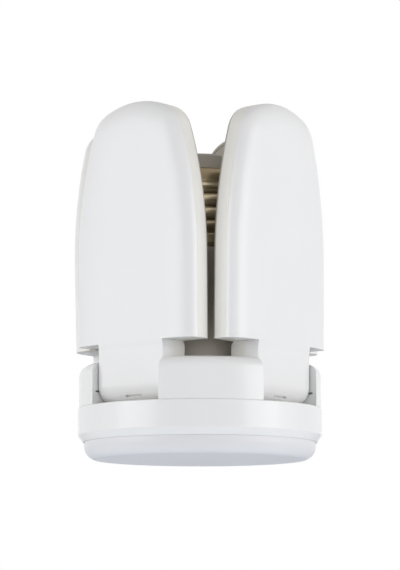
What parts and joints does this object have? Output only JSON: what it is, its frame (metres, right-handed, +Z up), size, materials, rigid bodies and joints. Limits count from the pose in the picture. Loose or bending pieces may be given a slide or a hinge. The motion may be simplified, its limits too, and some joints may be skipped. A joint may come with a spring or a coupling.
{
  "type": "folding garage ceiling light",
  "caption": "Screw-in LED ceiling lamp: a round hub with a frosted lens and round-topped light leaves that fold up round its driver column.",
  "frame": {"origin": "centre of the lens's flat underside", "axes": "+Z up along the lamp's axis, from the lens to the screw cap; the leaves stand over the +X, +Y, -X and -Y sides"},
  "size_m": [0.066, 0.066, 0.0942],
  "materials": {
    "frosted_lens": "frosted polycarbonate, satin",
    "frosted_leaf": "frosted polycarbonate, satin",
    "hub_white": "white ABS, semi-gloss",
    "leaf_shell": "cream white ABS, semi-gloss",
    "column_grey": "grey heat-conducting plastic, matte",
    "cap_metal": "nickel-plated brass, satin",
    "insulator_grey": "moulded insulator, matte",
    "contact_brass": "brass, satin",
    "screw_steel": "zinc-plated steel, satin",
    "board_aluminium": "aluminium-core board with white mask, matte",
    "board_fibre": "green glass-fibre board, satin",
    "led_chip": "yellow phosphor chip, matte",
    "capacitor_black": "black sleeve, semi-gloss",
    "winding_copper": "enamelled copper winding, satin",
    "washer_nylon": "natural nylon, matte"
  },
  "bodies": {
    "hub": {"lens_cover": "frosted_lens", "lens_bezel": "hub_white", "hub_housing": "hub_white", "hub_screws": "screw_steel", "centre_led_board": "board_aluminium", "centre_leds": "led_chip", "driver_housing": "column_grey", "driver_board": "board_fibre", "driver_capacitor": "capacitor_black", "driver_inductor": "winding_copper", "cap_shell": "cap_metal", "cap_insulator": "insulator_grey", "cap_contact": "contact_brass", "hinge_pins": "screw_steel", "friction_washers": "washer_nylon"},
    "leaf_1": {"leaf_1_diffuser": "frosted_leaf", "leaf_1_back_shell": "leaf_shell", "leaf_1_led_board": "board_aluminium", "leaf_1_leds": "led_chip", "leaf_1_board_screws": "screw_steel"},
    "leaf_2": {"leaf_2_diffuser": "frosted_leaf", "leaf_2_back_shell": "leaf_shell", "leaf_2_led_board": "board_aluminium", "leaf_2_leds": "led_chip", "leaf_2_board_screws": "screw_steel"},
    "leaf_3": {"leaf_3_diffuser": "frosted_leaf", "leaf_3_back_shell": "leaf_shell", "leaf_3_led_board": "board_aluminium", "leaf_3_leds": "led_chip", "leaf_3_board_screws": "screw_steel"},
    "leaf_4": {"leaf_4_diffuser": "frosted_leaf", "leaf_4_back_shell": "leaf_shell", "leaf_4_led_board": "board_aluminium", "leaf_4_leds": "led_chip", "leaf_4_board_screws": "screw_steel"}
  },
  "joints": [
    {"name": "leaf_1_hinge", "type": "hinge", "parent": "hub", "child": "leaf_1", "pos_m": [0.0241, 0, 0.0186], "axis": [0, 1, 0], "range_deg": [-0.7, 89.3]},
    {"name": "leaf_2_hinge", "type": "hinge", "parent": "hub", "child": "leaf_2", "pos_m": [0, 0.0241, 0.0186], "axis": [-1, 0, 0], "range_deg": [-0.2, 89.8]},
    {"name": "leaf_3_hinge", "type": "hinge", "parent": "hub", "child": "leaf_3", "pos_m": [-0.0241, 0, 0.0186], "axis": [0, -1, 0], "range_deg": [-2.3, 87.7]},
    {"name": "leaf_4_hinge", "type": "hinge", "parent": "hub", "child": "leaf_4", "pos_m": [0, -0.0241, 0.0186], "axis": [1, 0, 0], "range_deg": [-0.6, 89.4]}
  ]
}
